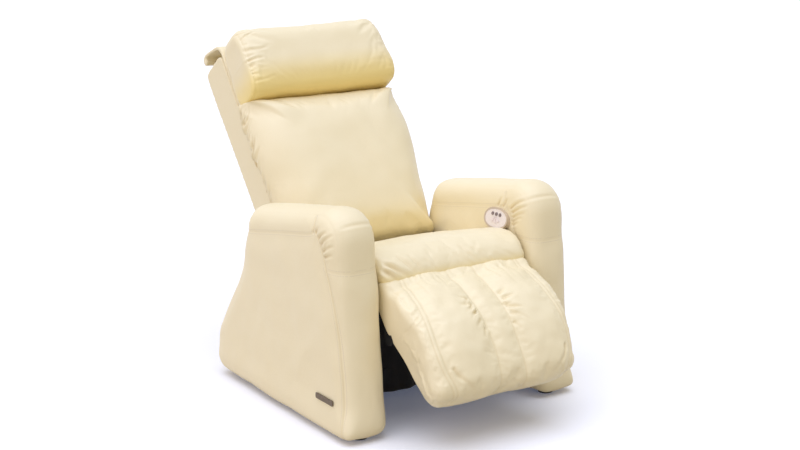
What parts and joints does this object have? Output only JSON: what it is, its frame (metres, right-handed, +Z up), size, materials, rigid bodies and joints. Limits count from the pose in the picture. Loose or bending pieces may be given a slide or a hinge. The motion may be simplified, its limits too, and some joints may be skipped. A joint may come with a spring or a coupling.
{
  "type": "massage chair",
  "caption": "Upholstered reclining massage chair with a roller carriage in its back, a lifting leg rest, a flip-over head pillow and a controller in one arm.",
  "frame": {"origin": "on the floor under the middle of the chair's footprint box", "axes": "+Z up, -Y the way the sitter faces, +X the sitter's left"},
  "size_m": [0.802, 1.2927, 1.0401],
  "materials": {
    "leather": "semi-gloss ivory upholstery leather with a fine grain",
    "black_cloth": "matt black lining cloth",
    "black_plastic": "matt moulded plastic",
    "bronze": "dark bronze, satin",
    "wood": "raw plywood and beech",
    "painted_steel": "black powder coat",
    "bright_steel": "ground steel",
    "cast_aluminium": "die-cast aluminium",
    "roller_rubber": "firm rubber",
    "controller_plastic": "cream gloss plastic",
    "button_plastic": "dark moulded plastic"
  },
  "bodies": {
    "base": {"glide_feet": "black_plastic", "arm_frames": "wood", "outer_panel_left": "leather", "outer_panel_right": "leather", "inner_panel_left": "leather", "inner_panel_right": "leather", "front_band_left": "leather", "front_band_right": "leather", "rear_band_left": "leather", "rear_band_right": "leather", "arm_pad_left": "leather", "arm_pad_right": "leather", "badge_plate": "bronze", "seat_rails": "painted_steel", "seat_deck": "wood", "seat_cushion": "leather", "front_skirt": "black_cloth", "cross_tubes": "painted_steel", "rear_cover": "black_plastic", "control_box": "black_plastic", "power_inlet": "black_plastic", "pivot_pins": "painted_steel", "controller_bezel": "controller_plastic", "controller_face": "controller_plastic"},
    "rocker": {"power_rocker": "black_plastic"},
    "wheel_left": {"transport_wheel_left": "black_plastic"},
    "wheel_right": {"transport_wheel_right": "black_plastic"},
    "button_front_body": {"button_front": "button_plastic"},
    "button_middle_body": {"button_middle": "button_plastic"},
    "button_rear_body": {"button_rear": "button_plastic"},
    "key_front_body": {"key_front": "controller_plastic"},
    "key_middle_body": {"key_middle": "controller_plastic"},
    "key_rear_body": {"key_rear": "controller_plastic"},
    "backrest": {"back_frame": "painted_steel", "back_band_left": "leather", "back_band_right": "leather", "back_top_band": "leather", "back_cover": "leather", "back_cushion": "leather", "pillow_strap": "leather", "guide_rails": "bright_steel", "lift_motor": "black_plastic"},
    "pillow": {"head_pillow": "leather"},
    "screw": {"lead_screw": "bright_steel"},
    "carriage_body": {"carriage": "cast_aluminium", "knead_motor": "black_plastic"},
    "knead_left": {"knead_arm_left": "cast_aluminium"},
    "knead_right": {"knead_arm_right": "cast_aluminium"},
    "roller_ul": {"roller_upper_left": "roller_rubber"},
    "roller_ll": {"roller_lower_left": "roller_rubber"},
    "roller_ur": {"roller_upper_right": "roller_rubber"},
    "roller_lr": {"roller_lower_right": "roller_rubber"},
    "leg_rest": {"leg_frame": "painted_steel", "leg_board": "wood", "leg_pad": "leather"},
    "back_tube": {"back_actuator": "black_plastic"},
    "back_rod_body": {"back_rod": "bright_steel"},
    "leg_tube": {"leg_actuator": "black_plastic"},
    "leg_rod_body": {"leg_rod": "bright_steel"}
  },
  "joints": [
    {"name": "recline", "type": "hinge", "parent": "base", "child": "backrest", "pos_m": [0, 0.145, 0.382], "axis": [-1, 0, 0], "range_deg": [-15, 28]},
    {"name": "leg_lift", "type": "hinge", "parent": "base", "child": "leg_rest", "pos_m": [0, -0.365, 0.38], "axis": [-1, 0, 0], "range_deg": [-38, 45]},
    {"name": "pillow_flip", "type": "hinge", "parent": "backrest", "child": "pillow", "pos_m": [0, 0.52795, 0.97493], "axis": [-1, 0, 0], "range_deg": [0, 110]},
    {"name": "carriage_travel", "type": "slide", "parent": "backrest", "child": "carriage_body", "axis": [0, 0.6018, 0.7986], "range_m": [-0.14, 0.14]},
    {"name": "screw_spin", "type": "hinge", "parent": "backrest", "child": "screw", "pos_m": [0, 0.39157, 0.63444], "axis": [0, 0.6018, 0.7986], "range_deg": [-1310, 1310]},
    {"name": "knead_left_swing", "type": "hinge", "parent": "carriage_body", "child": "knead_left", "pos_m": [0.06, 0.374, 0.64768], "axis": [0, 0.7986, -0.6018], "range_deg": [-8, 8]},
    {"name": "knead_right_swing", "type": "hinge", "parent": "carriage_body", "child": "knead_right", "pos_m": [-0.06, 0.374, 0.64768], "axis": [0, 0.7986, -0.6018], "range_deg": [-8, 8]},
    {"name": "roller_ul_spin", "type": "hinge", "parent": "knead_left", "child": "roller_ul", "pos_m": [0.086, 0.43118, 0.72355], "axis": [1, 0, 0], "continuous": true},
    {"name": "roller_ll_spin", "type": "hinge", "parent": "knead_left", "child": "roller_ll", "pos_m": [0.086, 0.31683, 0.57181], "axis": [1, 0, 0], "continuous": true},
    {"name": "roller_ur_spin", "type": "hinge", "parent": "knead_right", "child": "roller_ur", "pos_m": [-0.086, 0.43118, 0.72355], "axis": [1, 0, 0], "continuous": true},
    {"name": "roller_lr_spin", "type": "hinge", "parent": "knead_right", "child": "roller_lr", "pos_m": [-0.086, 0.31683, 0.57181], "axis": [1, 0, 0], "continuous": true},
    {"name": "back_tube_tilt", "type": "hinge", "parent": "base", "child": "back_tube", "pos_m": [0.09, -0.168, 0.128], "axis": [-1, 0, 0], "range_deg": [-0.8, 0.8]},
    {"name": "back_rod_slide", "type": "slide", "parent": "back_tube", "child": "back_rod_body", "axis": [0, 0.8741, 0.4857], "range_m": [-0.0345, 0.0185]},
    {"name": "leg_tube_tilt", "type": "hinge", "parent": "base", "child": "leg_tube", "pos_m": [-0.09, 0.06, 0.128], "axis": [-1, 0, 0], "range_deg": [-2.6, 2.3]},
    {"name": "leg_rod_slide", "type": "slide", "parent": "leg_tube", "child": "leg_rod_body", "axis": [0, -0.8816, 0.4719], "range_m": [-0.0145, 0.017]},
    {"name": "wheel_left_spin", "type": "hinge", "parent": "base", "child": "wheel_left", "pos_m": [0.2, 0.248, 0.03], "axis": [1, 0, 0], "continuous": true},
    {"name": "wheel_right_spin", "type": "hinge", "parent": "base", "child": "wheel_right", "pos_m": [-0.2, 0.248, 0.03], "axis": [1, 0, 0], "continuous": true},
    {"name": "rocker_tilt", "type": "hinge", "parent": "base", "child": "rocker", "pos_m": [-0.1, 0.271, 0.13], "axis": [1, 0, 0], "range_deg": [-10, 10]},
    {"name": "button_front_press", "type": "slide", "parent": "base", "child": "button_front_body", "axis": [0.9659, 0, -0.2588], "range_m": [0, 0.0012], "stiffness_N_per_m": 300, "springref_m": -0.0004},
    {"name": "button_middle_press", "type": "slide", "parent": "base", "child": "button_middle_body", "axis": [0.9659, 0, -0.2588], "range_m": [0, 0.0012], "stiffness_N_per_m": 300, "springref_m": -0.0004},
    {"name": "button_rear_press", "type": "slide", "parent": "base", "child": "button_rear_body", "axis": [0.9659, 0, -0.2588], "range_m": [0, 0.0012], "stiffness_N_per_m": 300, "springref_m": -0.0004},
    {"name": "key_front_press", "type": "slide", "parent": "base", "child": "key_front_body", "axis": [0.9659, 0, -0.2588], "range_m": [0, 0.0012], "stiffness_N_per_m": 300, "springref_m": -0.0004},
    {"name": "key_middle_press", "type": "slide", "parent": "base", "child": "key_middle_body", "axis": [0.9659, 0, -0.2588], "range_m": [0, 0.0012], "stiffness_N_per_m": 300, "springref_m": -0.0004},
    {"name": "key_rear_press", "type": "slide", "parent": "base", "child": "key_rear_body", "axis": [0.9659, 0, -0.2588], "range_m": [0, 0.0012], "stiffness_N_per_m": 300, "springref_m": -0.0004}
  ],
  "couplings": [
    {"joint": "screw_spin", "follows": "carriage_travel", "rad_per_m": 157.08},
    {"joint": "knead_right_swing", "follows": "knead_left_swing", "ratio": -1},
    {"joint": "back_tube_tilt", "follows": "recline", "ratio": -0.0173},
    {"joint": "back_rod_slide", "follows": "recline", "m_per_rad": -0.0679},
    {"joint": "leg_tube_tilt", "follows": "leg_lift", "ratio": -0.0526},
    {"joint": "leg_rod_slide", "follows": "leg_lift", "m_per_rad": 0.02095}
  ]
}
